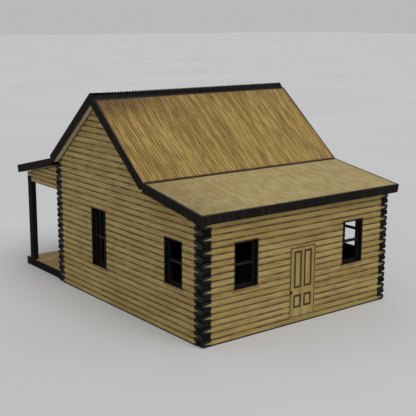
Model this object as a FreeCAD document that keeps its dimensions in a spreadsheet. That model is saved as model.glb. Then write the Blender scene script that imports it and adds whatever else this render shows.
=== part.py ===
"""Tabletop log cabin, assembled from laser-cut boards.

One 3 mm board thickness is used for the walls, the floors, the porch and the roof.  The walls
cross at the corners with log-end fingers, the sashes sit inside the window holes, and the roof
is one unit of four panels on ribs that lifts straight off.

Frame: millimetres, +Z up, the table at z = 0, the porch towards -Y, the cabin centred on x = 0.
The origin is below the middle of the whole model.
"""
import FreeCAD, Part
import Sketcher
import math
import os

doc = FreeCAD.newDocument("log_cabin")
sheet = doc.addObject("Spreadsheet::Sheet", "Sizes")

DRIVING_SIZES = [
    # boards and logs
    ("board", 3.0), ("course", 2.1), ("log_tip", 0.1), ("overlap", 1.0),
    # walls
    ("house_width", 83.6), ("front_wall_y", -32.3), ("rear_wall_y", 59.7),
    ("front_wall_height", 45.2), ("rear_wall_height", 40.1),
    # outline of the roof's upper face, front to back
    ("porch_eave_y", -60.6), ("porch_eave_z", 42.2), ("front_knee_y", -32.5), ("front_knee_z", 49.4),
    ("ridge_y", -1.6), ("ridge_z", 75.2), ("rear_knee_y", 30.8), ("rear_knee_z", 48.2),
    ("rear_eave_y", 62.5), ("rear_eave_z", 42.9), ("roof_width", 88.4), ("porch_lap", 1.0),
    # roof ribs and the play that lets the roof lift off
    ("roof_gap", 0.1), ("rib_play", 0.5), ("rib_depth", 6.0), ("porch_rib_depth", 3.0),
    # porch
    ("deck_width", 81.0), ("deck_front_y", -62.5), ("notch_play", 0.4), ("frame_front_y", -59.2),
    ("beam_bottom", 35.7), ("beam_course", 1.75), ("post_width", 2.0), ("inner_post_x", 13.0),
    # windows
    ("sash_board", 1.0), ("sash_recess", 1.5), ("stile", 0.8), ("muntin", 0.5),
    ("main_window_width", 9.2), ("main_window_sill", 12.8), ("main_window_height", 20.8),
    ("small_window_width", 9.2), ("small_window_sill", 16.8), ("small_window_height", 15.1),
    ("lean_to_window_y", 44.2), ("front_window_x", 31.2), ("rear_window_x", 24.2),
]
for row, (alias, number) in enumerate(DRIVING_SIZES, start=1):
    sheet.set(f"A{row}", alias)
    sheet.set(f"B{row}", str(number))
    sheet.setAlias(f"B{row}", alias)
doc.recompute()


class Size:
    """A length with its present number and the expression that ties it to the sheet."""

    def __init__(self, value, text):
        self.value = float(value)
        self.text = text

    def __add__(self, other):
        other = as_size(other)
        return Size(self.value + other.value, f"({self.text} + {other.text})")

    def __sub__(self, other):
        other = as_size(other)
        return Size(self.value - other.value, f"({self.text} - {other.text})")

    def __mul__(self, other):
        other = as_size(other)
        return Size(self.value * other.value, f"({self.text} * {other.text})")

    def __truediv__(self, other):
        other = as_size(other)
        return Size(self.value / other.value, f"({self.text} / {other.text})")

    def __neg__(self):
        return Size(-self.value, f"(0 - {self.text})")


def as_size(number):
    """Wrap a plain number, and pass a Size through."""
    if isinstance(number, Size):
        return number
    return Size(number, str(number))


def cell(alias):
    """The sheet's value under an alias."""
    return Size(sheet.get(alias), f"Sizes.{alias}")


def root(size):
    """Square root."""
    return Size(math.sqrt(size.value), f"sqrt({size.text})")


board = cell("board")
course = cell("course")
half_width = cell("house_width") / 2
inner_x = half_width - board
front_outer = cell("front_wall_y")
front_inner = front_outer + board
rear_outer = cell("rear_wall_y")
rear_inner = rear_outer - board


# ---------------------------------------------------------------- sketches, pads and patterns

PLANE_NORMAL_SIGN = {"YZ_Plane": 1, "XZ_Plane": -1, "XY_Plane": 1}


def new_sketch(body, name, role, offset):
    """A sketch on one of the body's own origin planes, moved along that plane's world axis."""
    sketch = body.newObject("Sketcher::SketchObject", name)
    plane = [item for item in body.Origin.OriginFeatures if item.Role == role][0]
    sketch.AttachmentSupport = (plane, "")
    sketch.MapMode = "FlatFace"
    along_normal = as_size(offset) * PLANE_NORMAL_SIGN[role]
    sketch.setExpression("AttachmentOffset.Base.z", along_normal.text)
    return sketch


def pin(sketch, geometry, point, x, y):
    """Hold one sketch point at x, y from the sketch's origin."""
    for kind, size in (("DistanceX", x), ("DistanceY", y)):
        size = as_size(size)
        number = sketch.addConstraint(Sketcher.Constraint(kind, -1, 1, geometry, point, size.value))
        sketch.setExpression(f"Constraints[{number}]", size.text)


def vector(x, y):
    return FreeCAD.Vector(as_size(x).value, as_size(y).value, 0)


def closed_outline(sketch, points):
    """A closed outline of straight edges through the points, each one pinned."""
    corners = [vector(x, y) for x, y in points]
    edges = []
    for start, end in zip(corners, corners[1:] + corners[:1]):
        edges.append(sketch.addGeometry(Part.LineSegment(start, end), False))
    for edge, following in zip(edges, edges[1:] + edges[:1]):
        sketch.addConstraint(Sketcher.Constraint("Coincident", edge, 2, following, 1))
    for edge, (x, y) in zip(edges, points):
        pin(sketch, edge, 1, x, y)


def rectangle(low_x, low_y, high_x, high_y):
    return [(low_x, low_y), (high_x, low_y), (high_x, high_y), (low_x, high_y)]


def pad(body, sketch, name, length):
    """Thicken a sketch along +X, +Z or -Y, the normal of its plane."""
    feature = body.newObject("PartDesign::Pad", name)
    feature.Profile = sketch
    feature.setExpression("Length", as_size(length).text)
    body.Tip = feature
    return feature


def new_board(name, role, offset, thickness, outlines):
    """A body cut from board: its outline first, then the outlines of its holes."""
    body = doc.addObject("PartDesign::Body", name)
    body.Label = name
    sketch = new_sketch(body, f"{name}_outline", role, offset)
    for points in outlines:
        closed_outline(sketch, points)
    pad(body, sketch, f"{name}_board", thickness)
    return body


def log_ends(body, tag, role, offset, wall_face, outwards, first_course, count):
    """Every second course runs on through the crossing wall and ends in a round log tip.

    wall_face is the crossing wall's inner face and outwards is +1 or -1 along the sketch's x.
    """
    radius = course / 2
    start = wall_face - cell("overlap") * outwards
    centre = wall_face + (board + cell("log_tip") - radius) * outwards
    low = course * first_course
    middle = low + radius
    high = low + course
    sketch = new_sketch(body, f"{tag}_log", role, offset)
    tip_centre = vector(centre, middle)
    circle = Part.Circle(tip_centre, FreeCAD.Vector(0, 0, 1), radius.value)
    half_turn = math.pi / 2
    if outwards > 0:
        arc = Part.ArcOfCircle(circle, -half_turn, half_turn)
        low_end, high_end = 1, 2
    else:
        arc = Part.ArcOfCircle(circle, half_turn, 3 * half_turn)
        low_end, high_end = 2, 1
    under = sketch.addGeometry(Part.LineSegment(vector(start, low), vector(centre, low)), False)
    tip = sketch.addGeometry(arc, False)
    over = sketch.addGeometry(Part.LineSegment(vector(centre, high), vector(start, high)), False)
    back = sketch.addGeometry(Part.LineSegment(vector(start, high), vector(start, low)), False)
    for first, first_point, second, second_point in ((under, 2, tip, low_end), (tip, high_end, over, 1),
                                                     (over, 2, back, 1), (back, 2, under, 1)):
        sketch.addConstraint(Sketcher.Constraint("Coincident", first, first_point, second, second_point))
    pin(sketch, under, 1, start, low)
    pin(sketch, under, 2, centre, low)
    pin(sketch, tip, 3, centre, middle)
    sketch.addConstraint(Sketcher.Constraint("Horizontal", over))
    sketch.addConstraint(Sketcher.Constraint("Vertical", back))
    sketch.addConstraint(Sketcher.Constraint("Vertical", under, 2, over, 1))
    log = pad(body, sketch, f"{tag}_log_pad", board)
    pattern = body.newObject("PartDesign::LinearPattern", f"{tag}_logs")
    pattern.Originals = [log]
    pattern.Direction = (sketch, ["V_Axis"])
    pattern.setExpression("Length", (course * (2 * (count - 1))).text)
    pattern.Occurrences = count
    body.Tip = pattern


# ---------------------------------------------------------------- roof lines

class Slope:
    """One roof panel's upper face in the Y-Z plane, from its front point to its rear point."""

    def __init__(self, front, rear):
        self.front_y, self.front_z = (cell(alias) for alias in front)
        self.rear_y, self.rear_z = (cell(alias) for alias in rear)
        run = self.rear_y - self.front_y
        rise = self.rear_z - self.front_z
        length = root(run * run + rise * rise)
        self.along = (run / length, rise / length)
        self.grade = rise / run
        self.drop = board * (length / run)

    def under(self, y, gap=0):
        """Height of the panel's lower face at y, less a gap."""
        return self.front_z + self.grade * (y - self.front_y) - self.drop - gap

    def inside(self, y, z):
        """The point one board thickness square below a point of the upper face."""
        return y + self.along[1] * board, z - self.along[0] * board


PORCH_EAVE = ("porch_eave_y", "porch_eave_z")
FRONT_KNEE = ("front_knee_y", "front_knee_z")
RIDGE = ("ridge_y", "ridge_z")
REAR_KNEE = ("rear_knee_y", "rear_knee_z")
REAR_EAVE = ("rear_eave_y", "rear_eave_z")
front_slope = Slope(FRONT_KNEE, RIDGE)
rear_slope = Slope(RIDGE, REAR_KNEE)
lean_to_slope = Slope(REAR_KNEE, REAR_EAVE)

# The porch panel tucks in below the front panel's square lower edge.
lap = cell("porch_lap") / board
front_corner = front_slope.inside(front_slope.front_y, front_slope.front_z)
porch_top_y = front_slope.front_y + (front_corner[0] - front_slope.front_y) * lap
porch_top_z = front_slope.front_z - (front_slope.front_z - front_corner[1]) * lap
porch_run = porch_top_y - cell("porch_eave_y")
porch_rise = porch_top_z - cell("porch_eave_z")
porch_length = root(porch_run * porch_run + porch_rise * porch_rise)
porch_grade = porch_rise / porch_run
porch_drop = board * (porch_length / porch_run)
porch_inside_y = board * (porch_rise / porch_length)
porch_inside_z = board * (porch_run / porch_length)


def porch_under(y, gap=0):
    """Height of the porch panel's lower face at y, less a gap."""
    return cell("porch_eave_z") + porch_grade * (y - cell("porch_eave_y")) - porch_drop - gap


# Below the knee the lower faces of the rear panel and the lean-to panel meet at this y.
valley_y = lean_to_slope.front_y + (rear_slope.drop - lean_to_slope.drop) / (
    rear_slope.grade - lean_to_slope.grade)


# ---------------------------------------------------------------- walls

def window_hole(middle, width, sill, height):
    half = cell(width) / 2
    return rectangle(middle - half, cell(sill), middle + half, cell(sill) + cell(height))


def side_wall(name, outer_side):
    """Gable wall: it follows the underside of the roof, with a window in the gable and a smaller
    one in the lean-to, and its logs cross the front and rear walls."""
    gap = cell("roof_gap")
    nose_z = course * 21
    main_start = front_corner[0] + gap
    porch_end = porch_top_y + porch_inside_y + gap
    profile = [
        (front_inner, 0), (rear_inner, 0),
        (rear_inner, lean_to_slope.under(rear_inner, gap)),
        (valley_y, lean_to_slope.under(valley_y, gap)),
        (cell("ridge_y"), front_slope.under(cell("ridge_y"), gap)),
        (main_start, front_slope.under(main_start, gap)),
        (porch_end, porch_under(porch_end, gap)),
        (front_outer, porch_under(front_outer, gap)),
        (front_outer, nose_z), (front_inner, nose_z),
    ]
    holes = [
        window_hole(cell("ridge_y"), "main_window_width", "main_window_sill", "main_window_height"),
        window_hole(cell("lean_to_window_y"), "small_window_width", "small_window_sill",
                    "small_window_height"),
    ]
    low_x = inner_x if outer_side > 0 else -half_width
    body = new_board(name, "YZ_Plane", low_x, board, [profile] + holes)
    log_ends(body, f"{name}_front", "YZ_Plane", low_x, front_inner, -1, 1, 10)
    log_ends(body, f"{name}_rear", "YZ_Plane", low_x, rear_inner, 1, 1, 9)


def cross_wall(end, face_y, log_count):
    """Front or rear wall: it fills the width between the gable walls, with two windows."""
    name = f"{end}_wall"
    outline = rectangle(-inner_x, 0, inner_x, cell(f"{end}_wall_height"))
    holes = [window_hole(cell(f"{end}_window_x") * side, "small_window_width", "small_window_sill",
                         "small_window_height") for side in (-1, 1)]
    body = new_board(name, "XZ_Plane", face_y, board, [outline] + holes)
    log_ends(body, f"{name}_left", "XZ_Plane", face_y, -inner_x, -1, 0, log_count)
    log_ends(body, f"{name}_right", "XZ_Plane", face_y, inner_x, 1, 0, log_count)


def house_floor():
    """Floor board inside the four walls."""
    return new_board("house_floor", "XY_Plane", 0, board,
                     [rectangle(-inner_x, front_inner, inner_x, rear_inner)])


# ---------------------------------------------------------------- sashes

def sash(name, role, offset, middle, columns, window):
    """Window sash cut from thin board: stiles, rails, a meeting rail and, on a wide window, muntins."""
    width, sill, height = (cell(f"{window}_window_{part}") for part in ("width", "sill", "height"))
    stile = cell("stile")
    muntin = cell("muntin")
    left = middle - width / 2
    clear_width = width - stile * 2 - muntin * (columns - 1)
    clear_height = height - stile * 3
    outlines = [rectangle(left, sill, left + width, sill + height)]
    for column in range(columns):
        pane_left = left + stile + (clear_width / columns + muntin) * column
        pane_right = pane_left + clear_width / columns
        for level in range(2):
            pane_low = sill + stile + (clear_height / 2 + stile) * level
            outlines.append(rectangle(pane_left, pane_low, pane_right, pane_low + clear_height / 2))
    return new_board(name, role, offset, cell("sash_board"), outlines)


def all_sashes():
    """Three panes wide in the gables and one pane wide everywhere else."""
    recess = cell("sash_recess")
    thin = cell("sash_board")
    for side_name, x in (("left", recess - half_width), ("right", half_width - recess - thin)):
        sash(f"main_sash_{side_name}", "YZ_Plane", x, cell("ridge_y"), 3, "main")
        sash(f"lean_to_sash_{side_name}", "YZ_Plane", x, cell("lean_to_window_y"), 1, "small")
    for end, y in (("front", front_outer + recess + thin), ("rear", rear_outer - recess)):
        for side_name, side in (("left", -1), ("right", 1)):
            sash(f"{end}_sash_{side_name}", "XZ_Plane", y, cell(f"{end}_window_x") * side, 1, "small")


# ---------------------------------------------------------------- porch

deck_half = cell("deck_width") / 2
frame_front = cell("frame_front_y")
frame_rear = frame_front + board
beam_bottom = cell("beam_bottom")
beam_course = cell("beam_course")
post = cell("post_width")
post_lefts = [-deck_half, -cell("inner_post_x") - post / 2, cell("inner_post_x") - post / 2,
              deck_half - post]


def porch_deck():
    """Deck board with mortises for the four posts and a notch for the log tips at each rear corner."""
    notch_x = inner_x - cell("notch_play")
    notch_y = front_outer - cell("log_tip") - cell("notch_play")
    deck_front = cell("deck_front_y")
    outline = [
        (-deck_half, deck_front), (deck_half, deck_front),
        (deck_half, frame_front), (deck_half - post, frame_front),
        (deck_half - post, frame_rear), (deck_half, frame_rear),
        (deck_half, notch_y), (notch_x, notch_y), (notch_x, front_outer),
        (-notch_x, front_outer), (-notch_x, notch_y), (-deck_half, notch_y),
        (-deck_half, frame_rear), (post - deck_half, frame_rear),
        (post - deck_half, frame_front), (-deck_half, frame_front),
    ]
    mortises = [rectangle(left, frame_front, left + post, frame_rear) for left in post_lefts[1:3]]
    return new_board("porch_deck", "XY_Plane", 0, board, [outline] + mortises)


def porch_front_frame():
    """Front beam of two courses and four posts in one board; its lower course carries the log tips
    and its upper course is cut back for the side beams' logs."""
    tip_x = deck_half + cell("log_tip")
    beam_middle = beam_bottom + beam_course
    beam_top = beam_middle + beam_course
    short_x = deck_half - board
    outline = [(tip_x, beam_bottom), (tip_x, beam_middle), (short_x, beam_middle), (short_x, beam_top),
               (-short_x, beam_top), (-short_x, beam_middle), (-tip_x, beam_middle),
               (-tip_x, beam_bottom)]
    for left in post_lefts:
        outline += [(left, beam_bottom), (left, 0), (left + post, 0), (left + post, beam_bottom)]
    return new_board("porch_front_frame", "XZ_Plane", frame_rear, board, [outline])


def porch_side_beam(name, low_x):
    """Beam from the cabin to the front frame under the sloping roof, with one log through the frame."""
    gap = cell("roof_gap")
    rear_y = front_outer - cell("log_tip") - gap
    tip_y = frame_front - cell("log_tip")
    log_low = beam_bottom + beam_course
    log_high = log_low + beam_course
    outline = [(frame_rear, beam_bottom), (rear_y, beam_bottom), (rear_y, porch_under(rear_y, gap)),
               (frame_rear, porch_under(frame_rear, gap)), (frame_rear, log_high), (tip_y, log_high),
               (tip_y, log_low), (frame_rear, log_low)]
    return new_board(name, "YZ_Plane", low_x, board, [outline])


# ---------------------------------------------------------------- roof

def roof_panel(name, front, rear, slope_inside_front, slope_inside_rear):
    """A square-cut board as wide as the roof; the points are the ends of its upper face."""
    half = cell("roof_width") / 2
    return new_board(name, "YZ_Plane", -half, cell("roof_width"),
                     [[front, rear, slope_inside_rear, slope_inside_front]])


def roof_panels():
    """Front, rear, lean-to and porch panels.  The front panel runs up to the peak and the rear
    panel starts where it clears the front panel's square end."""
    knee = (front_slope.front_y, front_slope.front_z)
    peak = (front_slope.rear_y, front_slope.rear_z)
    peak_inside = front_slope.inside(*peak)
    roof_panel("roof_front_panel", knee, peak, front_corner, peak_inside)
    setback = (peak_inside[0] - peak[0]) * rear_slope.along[0] + (
        peak_inside[1] - peak[1]) * rear_slope.along[1]
    start = (peak[0] + rear_slope.along[0] * setback, peak[1] + rear_slope.along[1] * setback)
    rear_knee = (rear_slope.rear_y, rear_slope.rear_z)
    roof_panel("roof_rear_panel", start, rear_knee, rear_slope.inside(*start),
               rear_slope.inside(*rear_knee))
    eave = (lean_to_slope.rear_y, lean_to_slope.rear_z)
    roof_panel("lean_to_roof_panel", rear_knee, eave, lean_to_slope.inside(*rear_knee),
               lean_to_slope.inside(*eave))
    porch_eave = (cell("porch_eave_y"), cell("porch_eave_z"))
    porch_top = (porch_top_y, porch_top_z)
    roof_panel("porch_roof_panel", porch_eave, porch_top,
               (porch_eave[0] + porch_inside_y, porch_eave[1] - porch_inside_z),
               (porch_top[0] + porch_inside_y, porch_top[1] - porch_inside_z))


def roof_rib(name, low_x):
    """Rib glued under the front, rear and lean-to panels; it drops in beside a gable wall."""
    depth = cell("rib_depth")
    play = cell("rib_play")
    front_y = front_inner + play
    rear_y = rear_inner - play
    ridge_y = cell("ridge_y")
    top = [(front_y, front_slope.under(front_y)), (ridge_y, front_slope.under(ridge_y)),
           (valley_y, lean_to_slope.under(valley_y)), (rear_y, lean_to_slope.under(rear_y))]
    bottom = [(y, z - depth) for y, z in reversed(top)]
    return new_board(name, "YZ_Plane", low_x, board, [top + bottom])


def porch_rib(name, low_x):
    """Rib glued under the porch panel; it drops in beside a side beam."""
    depth = cell("porch_rib_depth")
    play = cell("rib_play")
    front_y = frame_rear + play
    rear_y = front_outer - cell("log_tip") - play
    outline = [(front_y, porch_under(front_y)), (rear_y, porch_under(rear_y)),
               (rear_y, porch_under(rear_y) - depth), (front_y, porch_under(front_y) - depth)]
    return new_board(name, "YZ_Plane", low_x, board, [outline])


# ---------------------------------------------------------------- assembly and output

side_wall("left_wall", -1)
side_wall("right_wall", 1)
cross_wall("front", front_inner, 11)
cross_wall("rear", rear_outer, 10)
house_floor()
all_sashes()
porch_deck()
porch_front_frame()
porch_side_beam("left_porch_beam", -deck_half)
porch_side_beam("right_porch_beam", deck_half - board)
roof_panels()
roof_rib("left_roof_rib", cell("rib_play") - inner_x)
roof_rib("right_roof_rib", inner_x - cell("rib_play") - board)
porch_rib("left_porch_rib", board + cell("rib_play") - deck_half)
porch_rib("right_porch_rib", deck_half - board * 2 - cell("rib_play"))
doc.recompute()

for item in doc.Objects:
    if "Invalid" in item.State or "Error" in item.State:
        raise RuntimeError(f"{item.Label} did not build: {item.State}")
bodies = [item for item in doc.Objects if item.TypeId == "PartDesign::Body"]
for body in bodies:
    if body.Shape.isNull() or not body.Shape.isValid() or len(body.Shape.Solids) != 1:
        raise RuntimeError(f"{body.Label} is not one valid solid")
os.makedirs("parts", exist_ok=True)
for body in bodies:
    body.Shape.exportStep(f"parts/{body.Label}.step")
print(len(bodies), "parts written")
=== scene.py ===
"""Looks of a miniature log cabin, laser-cut from thin plywood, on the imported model's frame."""

import math
import random

import bmesh
import bpy
from mathutils import Matrix, Vector


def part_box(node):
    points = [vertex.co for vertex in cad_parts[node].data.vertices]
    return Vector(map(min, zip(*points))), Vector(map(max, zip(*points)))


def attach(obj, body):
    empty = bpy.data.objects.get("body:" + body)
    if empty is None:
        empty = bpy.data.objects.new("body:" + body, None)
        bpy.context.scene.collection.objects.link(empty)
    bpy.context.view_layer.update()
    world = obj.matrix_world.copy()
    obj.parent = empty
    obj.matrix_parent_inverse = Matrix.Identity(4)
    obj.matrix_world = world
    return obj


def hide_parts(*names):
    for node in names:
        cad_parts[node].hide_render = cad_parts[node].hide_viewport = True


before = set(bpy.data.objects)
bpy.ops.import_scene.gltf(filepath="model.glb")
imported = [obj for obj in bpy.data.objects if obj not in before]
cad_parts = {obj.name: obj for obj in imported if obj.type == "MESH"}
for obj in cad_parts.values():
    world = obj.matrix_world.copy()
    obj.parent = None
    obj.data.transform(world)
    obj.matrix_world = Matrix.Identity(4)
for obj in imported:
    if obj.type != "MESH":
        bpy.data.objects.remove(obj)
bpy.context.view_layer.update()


# SIDE WALLS
# Each end of the house is one plywood board, cut by laser to the roof's profile, with round log ends that
# cross the corners. A light pass scores one line for each log course, and the full cut chars every edge.

x_axis, y_axis, z_axis = Vector((1, 0, 0)), Vector((0, 1, 0)), Vector((0, 0, 1))
side_low, side_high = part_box("right_wall")
front_low, front_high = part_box("front_wall")
rear_low, rear_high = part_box("rear_wall")
board = side_high.x - side_low.x
course = 0.7 * board
line_half_width = 0.22 * course
line_depth = 0.08 * course
rim_width = 0.34 * course
touch = 1e-6
square_on = 0.999
edge_lean = 0.3
smooth_angle = math.radians(28)
face_roughness, edge_roughness = 0.62, 0.8
usual_gloss, edge_gloss = 0.25, 0.1


class Value:
    """A number in a material's nodes: arithmetic on it adds Math nodes."""

    def __init__(self, finish, socket):
        self.finish = finish
        self.socket = socket

    def math(self, operation, *others):
        return self.finish.add("Math", {"operation": operation}, dict(enumerate((self, *others))))

    def __add__(self, other):
        return self.math("ADD", other)

    __radd__ = __add__

    def __sub__(self, other):
        return self.math("SUBTRACT", other)

    def __rsub__(self, other):
        return self.math("MULTIPLY", -1.0) + other

    def __mul__(self, other):
        return self.math("MULTIPLY", other)

    __rmul__ = __mul__

    def __abs__(self):
        return self.math("ABSOLUTE")

    def rise(self, start, end):
        """0 up to start, 1 from end on, and a smooth step between them."""
        sockets = {"Value": self, "From Min": start, "From Max": end}
        return self.finish.add("MapRange", {"interpolation_type": "SMOOTHSTEP"}, sockets)


class Finish:
    """A procedural material while its nodes are being joined up."""

    def __init__(self, name, roughness):
        self.material = bpy.data.materials.new(name)
        self.material.use_nodes = True
        self.tree = self.material.node_tree
        self.shader = self.tree.nodes["Principled BSDF"]
        self.shader.inputs["Roughness"].default_value = roughness
        self.shader.inputs["Specular IOR Level"].default_value = usual_gloss
        self.place = self.add("TexCoord", {}, {}, "Object")

    def add(self, kind, settings, sockets, output=0):
        """A new node of this kind: settings first, then its sockets' values or links."""
        made = self.tree.nodes.new("ShaderNode" + kind)
        for name, setting in settings.items():
            setattr(made, name, setting)
        for name, value in sockets.items():
            self.join(value, made.inputs[name])
        return Value(self, made.outputs[output])

    def join(self, value, socket):
        if isinstance(value, Value):
            self.tree.links.new(value.socket, socket)
        else:
            socket.default_value = value

    def along(self, axis):
        """The place along the x, y or z axis, in metres."""
        return self.add("SeparateXYZ", {}, {"Vector": self.place}, "XYZ".index(axis))

    def mark(self, name):
        """What the mesh says about each point under this name."""
        return self.add("Attribute", {"attribute_name": name}, {}, "Fac")

    def streaks(self, waves, detail=2.0, turn=(0, 0, 0), shift=(0, 0, 0)):
        """Noise with so many waves per metre along x, y and z."""
        turned = {"Vector": self.place, "Location": shift, "Rotation": turn, "Scale": waves}
        place = self.add("Mapping", {}, turned)
        return self.add("TexNoise", {}, {"Vector": place, "Scale": 1.0, "Detail": detail})

    def blend(self, factor, first, second):
        return self.add("Mix", {"data_type": "RGBA"}, {0: factor, 6: first, 7: second}, 2)

    def colour(self, value):
        self.join(value, self.shader.inputs["Base Color"])

    def relief(self, height, strength, distance):
        sockets = {"Height": height, "Strength": strength, "Distance": distance}
        self.join(self.add("Bump", {}, sockets), self.shader.inputs["Normal"])


def paint(red, green, blue):
    """A colour out of 255, as on a paint chart, in the linear numbers that a node takes."""
    return (*(((part / 255 + 0.055) / 1.055) ** 2.4 for part in (red, green, blue)), 1.0)


# The laser's char, brown and then black; along a wall's foot these colours also carry a painted contact
# shadow.
scorch_and_shade_brown = paint(74, 45, 31)
scored_brown = paint(88, 56, 38)
char_and_shade_black = paint(20, 18, 17)
fibre_brown, patch_tan = paint(118, 82, 44), paint(150, 115, 66)
burnt_black, burnt_grain = paint(12, 11, 10), paint(36, 33, 28)
soot_brown, pulse_grey = paint(36, 27, 20), paint(44, 40, 35)
wall_pale, wall_deep = paint(178, 158, 96), paint(158, 137, 76)
# Painted shade: very dark browns for the inside faces, so that the house looks dim inside.
inside_shade_pale, inside_shade_deep = paint(60, 50, 37), paint(46, 38, 28)
fibre_relief, edge_relief = 0.00004, 0.00012


def ply_face(name, waves, pale, deep, fibre, turn=(0, 0, 0), smoke=None, line=scored_brown,
             breaks=(240, 240, 240), gaps=0.4):
    """Face veneer: fibres one way, cloudy patches, brown scored lines and scorched rims.

    fibre is the strength of the fibres. smoke, given a finish, says where the face is darkened besides the
    rims, partly painted shade at a wall's foot. The scored lines fade by gaps where they break, so many
    times a metre.
    """
    finish = Finish(name, face_roughness)
    fine = finish.streaks([20 * along for along in waves], 3.0, turn)
    coarse = finish.streaks([5 * along for along in waves], 2.0, turn, (3.1, 1.7, 0.4))
    cloud = finish.streaks((55, 55, 55), 2.0)
    colour = finish.blend(coarse.rise(0.36, 0.64), pale, deep)
    colour = finish.blend(fine.rise(0.48, 0.70) * fibre, colour, fibre_brown)
    colour = finish.blend(cloud.rise(0.48, 0.72) * 0.22, colour, patch_tan)
    wear = finish.streaks(breaks, 2.0, (0, 0, 0), (0.7, 2.2, 5.1)).rise(0.36, 0.6)
    scored = finish.mark("scored").rise(0.05, 0.65) * (0.95 - gaps + gaps * wear)
    colour = finish.blend(scored, colour, line)
    # Rims and the extra darkening go brown, then black; at a wall's foot part of this is painted shadow.
    scorch = finish.mark("scorch") + 0.5 * (finish.streaks((1500, 1500, 1500), 2.0) - 0.5)
    if smoke:
        scorch = scorch + smoke(finish)
    colour = finish.blend(scorch.rise(0.05, 0.6) * 0.75, colour, scorch_and_shade_brown)
    colour = finish.blend(scorch.rise(0.45, 0.85), colour, char_and_shade_black)
    finish.colour(colour)
    finish.relief(fine + 0.5 * coarse, 0.35, fibre_relief)
    return finish.material


def cut_edge(name, waves, pulses=None):
    """A laser-cut edge: charred almost black, with fine streaks straight through the board.

    pulses, given a finish, says where the laser's separate pulses have left paler stripes.
    """
    finish = Finish(name, edge_roughness)
    finish.shader.inputs["Specular IOR Level"].default_value = edge_gloss
    streak = finish.streaks(waves, 2.0)
    soot = finish.streaks((420, 420, 420), 2.0)
    colour = finish.blend(streak.rise(0.46, 0.70), burnt_black, burnt_grain)
    colour = finish.blend(soot.rise(0.5, 0.8) * 0.3, colour, soot_brown)
    if pulses:
        colour = finish.blend(pulses(finish) * 0.4, colour, pulse_grey)
    finish.colour(colour)
    finish.relief(streak, 0.7, edge_relief)
    return finish.material


def log_smoke_and_shade(axis, low, high, covered, early):
    """Smoke at the joints between logs and much more on the ends past low and high; along the foot, char
    darkened further by a painted contact shadow.

    covered is how much of each log end's half height is dark, and early how far ahead of the end the dark
    starts, both counted in courses.
    """
    middle, reach = (low + high) / 2, (high - low) / 2

    def smoke(finish):
        past = abs(finish.along(axis) - middle) - reach
        from_joint = finish.along("Z").math("PINGPONG", course / 2)
        clear = covered * course + 0.15 * past
        near_joint = 1 - from_joint.rise(clear, clear + 0.14 * course)
        ends = near_joint * past.rise(-(early + 0.3) * course, -early * course)
        haze = 1 - from_joint.rise(0.08 * course, 0.4 * course)
        # Painted contact shadow along the wall's foot, over the char of its bottom edge.
        foot = 1 - finish.along("Z").rise(0.1 * course, 0.24 * course)
        return 0.95 * ends + 0.15 * haze + 0.9 * foot

    return smoke


def start_piece(name, node):
    """A piece that starts as a welded copy of a cut board, open in edit mode."""
    bpy.ops.object.select_all(action="DESELECT")
    piece = bpy.data.objects.new(name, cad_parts[node].data.copy())
    bpy.context.scene.collection.objects.link(piece)
    piece.data.materials.clear()
    bpy.context.view_layer.objects.active = piece
    piece.select_set(True)
    bpy.ops.mesh.customdata_custom_splitnormals_clear()
    open_piece(piece)
    bpy.ops.mesh.remove_doubles(threshold=touch)
    return piece


def open_piece(piece):
    """Edit mode on all of a new piece, with its two marks ready."""
    bpy.ops.object.mode_set(mode="EDIT")
    bpy.ops.mesh.select_mode(type="FACE")
    bpy.ops.mesh.select_all(action="SELECT")
    shape = bmesh.from_edit_mesh(piece.data)
    shape.verts.layers.float.new("scored")
    shape.verts.layers.float.new("scorch")


def pick_faces(piece, wanted):
    """Selects the faces whose normal and middle are wanted, and no others."""
    shape = bmesh.from_edit_mesh(piece.data)
    for face in shape.faces:
        face.select_set(False)
    for face in shape.faces:
        if wanted(face.normal, face.calc_center_median()):
            face.select_set(True)
    shape.select_flush_mode()


def pick_side(piece, facing):
    """Selects the flat side that looks along facing."""
    pick_faces(piece, lambda normal, middle: normal.dot(facing) > square_on)


def mark_picked(piece, mark, value):
    """Writes one mark on every point of the picked faces."""
    shape = bmesh.from_edit_mesh(piece.data)
    layer = shape.verts.layers.float[mark]
    for face in shape.faces:
        if face.select:
            for point in face.verts:
                point[layer] = value


def scorch_rim(piece, facing, width):
    """Frames both flat sides with a rim, scorched at the cut and clean on its inner side."""
    bpy.ops.mesh.select_all(action="SELECT")
    mark_picked(piece, "scorch", 1.0)
    pick_faces(piece, lambda normal, middle: abs(normal.dot(facing)) > square_on)
    bpy.ops.mesh.inset(thickness=width, depth=0, use_boundary=True, use_even_offset=True)
    mark_picked(piece, "scorch", 0.0)


def score_lines(piece, facing, measured, places, half_width, depth):
    """Cuts a V groove across the side that looks along facing, at each place along the measured axis."""
    shape = bmesh.from_edit_mesh(piece.data)
    level = max(point.co.dot(facing) for point in shape.verts)
    for place in places:
        for cut in (place - half_width, place + half_width, place):
            pick_side(piece, facing)
            bpy.ops.mesh.bisect(plane_co=measured * cut, plane_no=measured)
        shape = bmesh.from_edit_mesh(piece.data)
        scored = shape.verts.layers.float["scored"]
        for point in shape.verts:
            on_line = abs(point.co.dot(measured) - place) < touch
            if on_line and abs(point.co.dot(facing) - level) < touch:
                point.co -= facing * depth
                point[scored] = 1.0


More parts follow.
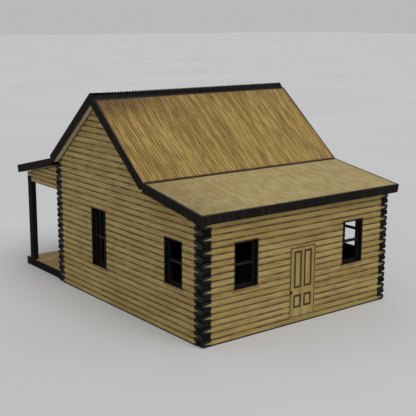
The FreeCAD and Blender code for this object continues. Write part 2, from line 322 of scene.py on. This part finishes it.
def finish_piece(piece, facing, finishes, body, node=None):
    """Gives a piece its finishes and hangs it on its body.

    finishes are for the face and the cut edges, and then for the back where it isn't like the face.
    """
    for finish in finishes:
        piece.data.materials.append(finish)
    back = 2 if len(finishes) == 3 else 0
    shape = bmesh.from_edit_mesh(piece.data)
    shape.normal_update()
    for face in shape.faces:
        lean = face.normal.dot(facing)
        face.material_index = 1 if abs(lean) < edge_lean else (0 if lean > 0 else back)
    bpy.ops.object.mode_set(mode="OBJECT")
    bpy.ops.object.shade_smooth_by_angle(angle=smooth_angle)
    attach(piece, body)
    if node:
        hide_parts(node)


def course_lines(bottom, top, pitch):
    """Places of the scored lines, from one pitch above the bottom to the top."""
    return [bottom + pitch * number for number in range(1, int((top - bottom) / pitch) + 1)]


grain_along_y = (90, 9, 90)
wall_fibre = 0.45
side_smoke_and_shade = log_smoke_and_shade("Y", front_high.y, rear_low.y, covered=0.36, early=0.5)
side_face = ply_face("side_wall_ply", grain_along_y, wall_pale, wall_deep, wall_fibre, smoke=side_smoke_and_shade)
side_cut = cut_edge("side_wall_cut_edge", (90, 2000, 2000))
# Painted shade: the inside faces of the boards are dark brown, for the dim inside of the closed house seen
# through its windows.
inside_face = ply_face("painted_shade_inside_ply", (40, 9, 90), inside_shade_pale, inside_shade_deep, 0.3)

for side, outwards in (("left", -x_axis), ("right", x_axis)):
    wall = start_piece(side + "_log_wall", side + "_wall")
    scorch_rim(wall, outwards, rim_width)
    score_lines(wall, outwards, z_axis, course_lines(0, side_high.z, course), line_half_width, line_depth)
    wall_finishes = (side_face, side_cut, inside_face)
    finish_piece(wall, outwards, wall_finishes, "house", side + "_wall")


# FRONT AND REAR WALLS
# The two long walls are cut from the same plywood, with log ends in the courses between the side walls'.
# They carry the same scored lines, and slot into the side walls at the corners.

grain_along_x = (9, 90, 90)
cross_smoke_and_shade = log_smoke_and_shade("X", -side_low.x, side_low.x, covered=0.26, early=0.1)
cross_face = ply_face("cross_wall_ply", grain_along_x, wall_pale, wall_deep, wall_fibre, smoke=cross_smoke_and_shade)
cross_cut = cut_edge("cross_wall_cut_edge", (2000, 90, 2000))

for end, outwards, top in (("front", -y_axis, front_high.z), ("rear", y_axis, rear_high.z)):
    wall = start_piece(end + "_log_wall", end + "_wall")
    scorch_rim(wall, outwards, rim_width)
    score_lines(wall, outwards, z_axis, course_lines(0, top, course), line_half_width, line_depth)
    wall_finishes = (cross_face, cross_cut, inside_face)
    finish_piece(wall, outwards, wall_finishes, "house", end + "_wall")


# DOORS
# The doors don't open: each is a panel of the wall veneer with its frame and four sunk panels scored
# into it, and a turned knob at the lock rail. It is let into the logs and stands a hair proud of them.

door_width, door_height = 3.9 * board, 8.27 * board
proud = 0.03 * board
groove_depth = 0.02 * board
door_thickness = 0.08 * board
groove = 0.2 * board
stile, mullion = 0.53 * board, 0.2 * board
panel_width = (door_width - 2 * stile - mullion) / 2
bottom_rail, short_panel, lock_rail, tall_panel = 1.1 * board, 1.68 * board, 0.63 * board, 4.43 * board
knob_radius, knob_length = 0.17 * board, 0.1 * board
knob_rim, knob_step, knob_groove = 0.04 * board, 0.02 * board, 0.03 * board
rear_door_middle, rear_door_foot = -0.18 * board, 0.63 * board


def start_plate(name, low, high):
    """A flat block between two corners, open in edit mode."""
    bpy.ops.object.select_all(action="DESELECT")
    bpy.ops.mesh.primitive_cube_add(size=1, location=(low + high) / 2, scale=high - low)
    bpy.ops.object.transform_apply(location=True, rotation=True, scale=True)
    plate = bpy.context.object
    plate.name = name
    open_piece(plate)
    return plate


def let_in(wall_face, way):
    """Where a plate starts and ends through a wall that it is let into, a hair proud of its face."""
    return sorted((wall_face - way * (door_thickness - proud), wall_face + way * proud))


def score_outline(piece, width, depth):
    """Cuts a V groove round the inside of each patch of picked faces."""
    for step, mark in ((-depth, 1.0), (depth, 0.0)):
        bpy.ops.mesh.inset(thickness=width, depth=step, use_even_offset=True)
        mark_picked(piece, "scored", mark)


grain_along_z = (90, 90, 9)
deep_brown = paint(46, 29, 20)
door_face = ply_face("door_ply", grain_along_z, wall_pale, wall_deep, 0.4, line=deep_brown, gaps=0.0)


def make_door(name, middle, sill, wall_face, outwards):
    """One scored door; wall_face is the wall's outer y and outwards the way that it looks."""
    way = outwards.y
    left = middle - door_width / 2
    start, end = let_in(wall_face, way)
    low = Vector((left, start, sill))
    high = Vector((left + door_width, end, sill + door_height))
    door = start_plate(name, low, high)
    uprights = [left + stile, left + stile + panel_width]
    uprights += [left + door_width - stile - panel_width, left + door_width - stile]
    levels = [sill + bottom_rail, sill + bottom_rail + short_panel]
    levels += [levels[1] + lock_rail, levels[1] + lock_rail + tall_panel]
    pick_side(door, outwards)
    bpy.ops.mesh.inset(thickness=0.3 * groove, depth=0)
    score_outline(door, 0.45 * groove, groove_depth)
    for measured, cuts in ((x_axis, uprights), (z_axis, levels)):
        for cut in cuts:
            pick_side(door, outwards)
            bpy.ops.mesh.bisect(plane_co=measured * cut, plane_no=measured)
    pick_faces(
        door,
        lambda normal, middle: normal.dot(outwards) > square_on
        and (uprights[0] < middle.x < uprights[1] or uprights[2] < middle.x < uprights[3])
        and (levels[0] < middle.z < levels[1] or levels[2] < middle.z < levels[3]),
    )
    score_outline(door, groove, groove_depth)
    finish_piece(door, outwards, (door_face, cross_cut), "house")

    knob_place = (middle + door_width / 2 - 0.4 * stile, wall_face + way * proud, levels[1] + lock_rail / 2)
    bpy.ops.object.select_all(action="DESELECT")
    bpy.ops.mesh.primitive_cylinder_add(vertices=24, radius=knob_radius, depth=knob_length,
                                        location=knob_place, rotation=(math.radians(90), 0, 0))
    bpy.ops.object.transform_apply(location=True, rotation=True, scale=True)
    knob = bpy.context.object
    knob.name = name + "_knob"
    open_piece(knob)
    pick_side(knob, outwards)
    bpy.ops.mesh.inset(thickness=knob_rim, depth=knob_step)
    score_outline(knob, knob_groove, knob_groove)
    bpy.ops.mesh.inset(thickness=knob_step, depth=knob_step)
    finish_piece(knob, outwards, (cross_cut, cross_cut), "house")


make_door("rear_door", rear_door_middle, rear_door_foot, rear_high.y, y_axis)
make_door("front_door", 0.0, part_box("porch_deck")[1].z + proud, front_low.y, -y_axis)


# WINDOW SASHES AND SILLS
# Each window is a thin sash, darkened nearly all over, set back in its opening.
# A scored sill board runs under it, a little wider than the opening.

sill_reach, sill_height, sill_drop = 0.3 * board, 0.33 * board, 0.06 * board
sill_rim, sill_groove = 0.03 * board, 0.08 * board


def sash_darkening(middle, reach):
    """Darkening all over a sash but for the heart of its meeting rail."""

    def smoke(finish):
        return 0.86 + 0.12 * abs(finish.along("Z") - middle).rise(0.5 * reach, 1.3 * reach)

    return smoke


main_low, main_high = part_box("main_sash_right")
small_low, small_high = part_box("rear_sash_right")
sash_stile = 0.27 * board
sash_rim = 0.24 * sash_stile
windows = {}
for pattern, low, high in (("main", main_low, main_high), ("small", small_low, small_high)):
    smoke = sash_darkening((low.z + high.z) / 2, sash_stile)
    windows[pattern] = ply_face(pattern + "_sash_ply", (60, 60, 30), wall_pale, wall_deep, 0.5, smoke=smoke)
sash_cut = cut_edge("sash_cut_edge", (900, 900, 900))

for node, outwards, wall_face in (
    ("main_sash_left", -x_axis, -side_high.x),
    ("main_sash_right", x_axis, side_high.x),
    ("lean_to_sash_left", -x_axis, -side_high.x),
    ("lean_to_sash_right", x_axis, side_high.x),
    ("front_sash_left", -y_axis, front_low.y),
    ("front_sash_right", -y_axis, front_low.y),
    ("rear_sash_left", y_axis, rear_high.y),
    ("rear_sash_right", y_axis, rear_high.y),
):
    pattern = "main" if node.startswith("main") else "small"
    sash = start_piece(node + "_cut", node)
    scorch_rim(sash, outwards, sash_rim)
    # The sash's back takes the dark inside finish, which is painted shade.
    sash_finishes = (windows[pattern], sash_cut, inside_face)
    finish_piece(sash, outwards, sash_finishes, "house", node)

    low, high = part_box(node)
    across = Vector((abs(outwards.y), abs(outwards.x), 0))
    deep = Vector((abs(outwards.x), abs(outwards.y), 0))
    way = outwards.dot(deep)
    middle = (low + high).dot(across) / 2
    half = (high - low).dot(across) / 2 + sill_reach
    start, end = let_in(wall_face, way)
    top = low.z - sill_drop
    sill = start_plate(
        node.replace("sash", "sill"),
        across * (middle - half) + deep * start + z_axis * (top - sill_height),
        across * (middle + half) + deep * end + z_axis * top,
    )
    pick_side(sill, outwards)
    bpy.ops.mesh.inset(thickness=sill_rim, depth=0)
    score_outline(sill, sill_groove, groove_depth)
    sill_faces = (side_face, side_cut) if outwards.x else (cross_face, cross_cut)
    finish_piece(sill, outwards, sill_faces, "house")


# FLOOR AND PORCH DECK
# The house floor lies between the walls and the deck in front of them, both plain plywood with the
# grain along the house. Their edges are charred like every other cut.

deck_pale, deck_deep = paint(188, 158, 98), paint(170, 138, 80)
deck_face = ply_face("deck_ply", grain_along_x, deck_pale, deck_deep, 0.4)
floor_cut = cut_edge("floor_cut_edge", (2000, 2000, 90))
# The house floor's top takes the dark inside finish, painted shade for the dim inside of the house.
for node, top_face in (("house_floor", inside_face), ("porch_deck", deck_face)):
    sheet = start_piece(node + "_board", node)
    scorch_rim(sheet, z_axis, rim_width)
    finish_piece(sheet, z_axis, (top_face, floor_cut), "house", node)


# PORCH POSTS AND BEAMS
# The porch front is one cut board: four slim posts, darkened almost black, under a log header. Two log
# beams run back to the house from its ends, scored like the walls but with thinner logs.

beam_low, beam_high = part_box("right_porch_beam")
beam_pitch = 0.833 * course
beam_rim = 0.7 * rim_width


def post_darkening(finish):
    """The posts are darkened almost black up to the header; the header above stays clean."""
    return 0.95 * (1 - finish.along("Z").rise(beam_low.z - 0.3 * board, beam_low.z + 0.1 * board))


post_face = ply_face("porch_front_ply", grain_along_x, wall_pale, wall_deep, wall_fibre, smoke=post_darkening)
beam_face = ply_face("porch_beam_ply", grain_along_y, wall_pale, wall_deep, wall_fibre)

porch_front = start_piece("porch_front_cut", "porch_front_frame")
scorch_rim(porch_front, y_axis, rim_width)
header_lines = course_lines(beam_low.z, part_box("porch_front_frame")[1].z, beam_pitch)
score_lines(porch_front, -y_axis, z_axis, header_lines, line_half_width, line_depth)
finish_piece(porch_front, -y_axis, (post_face, cross_cut), "house", "porch_front_frame")

for side, outwards in (("left", -x_axis), ("right", x_axis)):
    beam = start_piece(side + "_log_beam", side + "_porch_beam")
    scorch_rim(beam, outwards, beam_rim)
    beam_lines = course_lines(beam_low.z, beam_high.z, beam_pitch)
    score_lines(beam, outwards, z_axis, beam_lines, line_half_width, line_depth)
    finish_piece(beam, outwards, (beam_face, side_cut), "house", side + "_porch_beam")


# ROOF PANELS
# Four plywood panels lie on the gables. The two steep ones are scored from ridge to eave like split
# shakes, and the porch and lean-to panels are plain. The lines notch the ridge where they run out.

def slope_of(node):
    """The way that a roof panel looks: the normal of its largest upward face."""
    faces = [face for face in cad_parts[node].data.polygons if face.normal.z > 0.5]
    return max(faces, key=lambda face: face.area).normal.copy()


ridge_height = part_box("roof_front_panel")[1].z


def ridge_darkening(finish):
    """A little darker towards the ridge, and darker still at its right-hand end."""
    near_ridge = finish.along("Z").rise(ridge_height - 5.5 * board, ridge_height)
    return near_ridge * (0.24 + 0.3 * finish.along("X").rise(0.0, 13 * board))


def pulses(finish):
    """Stripes straight through a panel's edge, one for each pulse of the laser along the cut."""
    along_cut = finish.along("X") + finish.along("Y")
    return along_cut.math("PINGPONG", 0.14 * board).rise(0.04 * board, 0.1 * board)


def panel_smoke(finish):
    """Plain panels turn a little browner towards the right, and their rims are ragged from the pulses."""
    ragged = finish.mark("scorch").rise(0.0, 0.4) * pulses(finish) * 0.5
    return 0.3 * finish.along("X").rise(2 * board, 15 * board) + ragged


shake_pale, shake_deep = paint(184, 158, 87), paint(154, 125, 60)
plain_pale, plain_deep = paint(182, 166, 114), paint(168, 148, 95)
under_pale, under_deep = paint(196, 184, 152), paint(184, 170, 136)
shake_face = ply_face("shake_ply", (120, 9, 9), shake_pale, shake_deep, 0.85, smoke=ridge_darkening,
                      breaks=(900, 150, 150), gaps=0.8)
plain_face = ply_face("plain_roof_ply", (110, 40, 40), plain_pale, plain_deep, 0.25,
                      turn=(0, 0, math.radians(25)), smoke=panel_smoke)
under_face = ply_face("roof_underside_ply", (70, 10, 10), under_pale, under_deep, 0.15)
roof_cut = cut_edge("roof_cut_edge", (1900, 1100, 90), pulses)
shake_pitch = 0.58 * course
shake_half_width, shake_depth = 0.2 * shake_pitch, 0.06 * course
notch_half_width, notch_depth = 0.4 * shake_pitch, 0.3 * board
ridge_reach = 0.1 * board
shake_rim, plain_rim = 1.4 * rim_width, 1.6 * rim_width
jitter = random.Random(7)


def notch_ridge(piece, outwards, lines):
    """Widens and deepens each shake line where it runs out over the ridge."""
    shape = bmesh.from_edit_mesh(piece.data)
    top = max(point.co.z for point in shape.verts)
    level = max(point.co.dot(outwards) for point in shape.verts)
    for point in shape.verts:
        if point.co.z < top - ridge_reach or point.co.dot(outwards) < level - ridge_reach:
            continue
        nearest = min(lines, key=lambda line: abs(point.co.x - line))
        offset = point.co.x - nearest
        if abs(offset) < touch:
            point.co -= outwards * notch_depth
        elif abs(abs(offset) - shake_half_width) < touch:
            point.co.x = nearest + math.copysign(notch_half_width, offset)


for node in ("roof_front_panel", "roof_rear_panel"):
    outwards = slope_of(node)
    low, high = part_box(node)
    panel = start_piece(node + "_cut", node)
    scorch_rim(panel, outwards, shake_rim)
    count = int((high.x - low.x) / shake_pitch)
    lines = [low.x + shake_pitch * (number + jitter.uniform(0.43, 0.57)) for number in range(count)]
    score_lines(panel, outwards, x_axis, lines, shake_half_width, shake_depth)
    if node == "roof_front_panel":
        notch_ridge(panel, outwards, lines)
    finish_piece(panel, outwards, (shake_face, roof_cut, under_face), "roof", node)

for node in ("lean_to_roof_panel", "porch_roof_panel"):
    outwards = slope_of(node)
    panel = start_piece(node + "_cut", node)
    scorch_rim(panel, outwards, plain_rim)
    finish_piece(panel, outwards, (plain_face, roof_cut, under_face), "roof", node)


# ROOF RIBS
# Under the panels, two gable ribs and two short porch ribs hold the four together, so that the roof lifts
# off as one. They are plain plywood just inside the walls.

rib_grain = (90, 12, 90)
rib_face = ply_face("rib_ply", rib_grain, wall_pale, wall_deep, 0.3)
for node in ("left_roof_rib", "right_roof_rib", "left_porch_rib", "right_porch_rib"):
    rib = start_piece(node + "_cut", node)
    scorch_rim(rib, x_axis, rim_width)
    finish_piece(rib, x_axis, (rib_face, side_cut), "roof", node)


# TABLE, LIGHT AND CAMERA
# The cabin stands on a pale table, under an even sky and one large soft lamp above the lean-to side.
# The camera looks a little down at the corner where the gable wall meets the rear wall.

bpy.ops.object.select_all(action="DESELECT")
bpy.ops.mesh.primitive_plane_add(size=8.0, location=(0, 0, 0))
table = bpy.context.object
table.name = "table"
table_finish = Finish("pale_table", 0.8)
table_mottle = table_finish.streaks((7, 7, 7), 3.0).rise(0.3, 0.7)
table_finish.colour(table_finish.blend(table_mottle, paint(215, 215, 215), paint(220, 220, 220)))
table.data.materials.append(table_finish.material)

sky = bpy.data.worlds.new("sky")
sky.use_nodes = True
sky.node_tree.nodes["Background"].inputs["Color"].default_value = (0.98, 0.985, 1.0, 1.0)
sky.node_tree.nodes["Background"].inputs["Strength"].default_value = 0.5
bpy.context.scene.world = sky
bpy.context.scene.view_settings.view_transform = "Standard"

lamp_way = Vector((0.05, 0.7, 1.0))
lamp_data = bpy.data.lights.new("soft_lamp", "SUN")
lamp_data.energy = 1.15
lamp_data.angle = math.radians(50)
lamp = bpy.data.objects.new("soft_lamp", lamp_data)
lamp.rotation_euler = lamp_way.to_track_quat("Z", "Y").to_euler()
bpy.context.scene.collection.objects.link(lamp)

camera_data = bpy.data.cameras.new("camera")
camera_data.sensor_width = 36.0
camera_data.lens = 76.8
camera_data.clip_start = 0.01
camera = bpy.data.objects.new("camera", camera_data)
azimuth, elevation, roll = math.radians(52.27), math.radians(12.24), math.radians(0.2)
distance = 0.27626
aim_right, aim_up = 0.0018, 0.0439
rear_corner = Vector((side_high.x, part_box("rear_wall")[1].y, 0.0))
stand = (
    Matrix.Rotation(azimuth + math.radians(90), 4, "Z")
    @ Matrix.Rotation(math.radians(90) - elevation, 4, "X")
    @ Matrix.Rotation(roll, 4, "Z")
)
aim = rear_corner + stand @ Vector((aim_right, aim_up, 0.0))
camera.matrix_world = Matrix.Translation(aim + stand @ Vector((0, 0, distance))) @ stand
bpy.context.scene.collection.objects.link(camera)
bpy.context.scene.camera = camera
